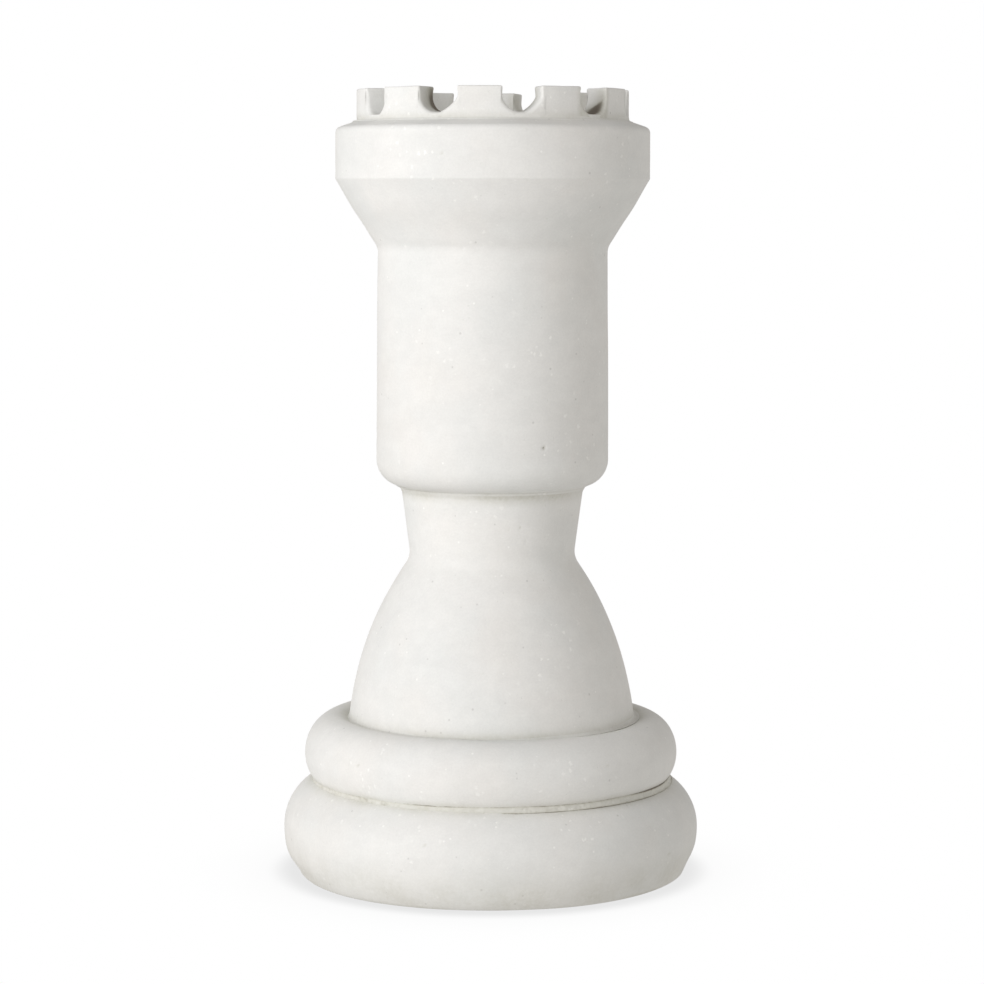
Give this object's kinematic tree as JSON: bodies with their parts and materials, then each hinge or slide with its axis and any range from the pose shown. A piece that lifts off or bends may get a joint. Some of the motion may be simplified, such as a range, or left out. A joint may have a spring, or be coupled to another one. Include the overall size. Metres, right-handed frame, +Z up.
{
  "type": "giant chess piece",
  "caption": "Giant lawn chess rook in white cast stone: stepped round base, bell, narrow neck, straight tower and a flared top with an open battlement.",
  "frame": {"origin": "on the axis of the piece, at the level its four rubber feet stand on", "axes": "+Z up along the axis of the piece, from its base to its battlement; the middle of one merlon faces -Y"},
  "size_m": [0.325, 0.325, 0.61],
  "materials": {
    "cast_stone": "matte",
    "bedding": "matte",
    "stainless_steel": "satin",
    "galvanised_steel": "matte",
    "brass": "satin",
    "black_rubber": "matte",
    "dark_plastic": "matte"
  },
  "bodies": {
    "root": {"lower_base_ring": "cast_stone", "upper_base_ring": "cast_stone", "bell_section": "cast_stone", "tower_section": "cast_stone", "battlement_ring": "cast_stone", "well_floor": "cast_stone", "base_seam_bed": "bedding", "bell_foot_bed": "bedding", "collar_bed": "bedding", "battlement_bed": "bedding", "tie_rod": "stainless_steel", "top_washer": "stainless_steel", "top_nut": "stainless_steel", "bottom_washer": "stainless_steel", "bottom_nut": "stainless_steel", "bottom_lock_nut": "stainless_steel", "base_dowels": "stainless_steel", "bell_dowels": "stainless_steel", "collar_dowels": "stainless_steel", "battlement_dowels": "stainless_steel", "base_cover_screws": "stainless_steel", "foot_screws": "stainless_steel", "top_clamp_plate": "galvanised_steel", "bottom_clamp_plate": "galvanised_steel", "base_cover_inserts": "brass", "foot_inserts": "brass", "rubber_foot_1": "black_rubber", "rubber_foot_2": "black_rubber", "rubber_foot_3": "black_rubber", "rubber_foot_4": "black_rubber", "top_gasket": "black_rubber", "bottom_gasket": "black_rubber", "base_cover": "dark_plastic"}
  },
  "joints": []
}
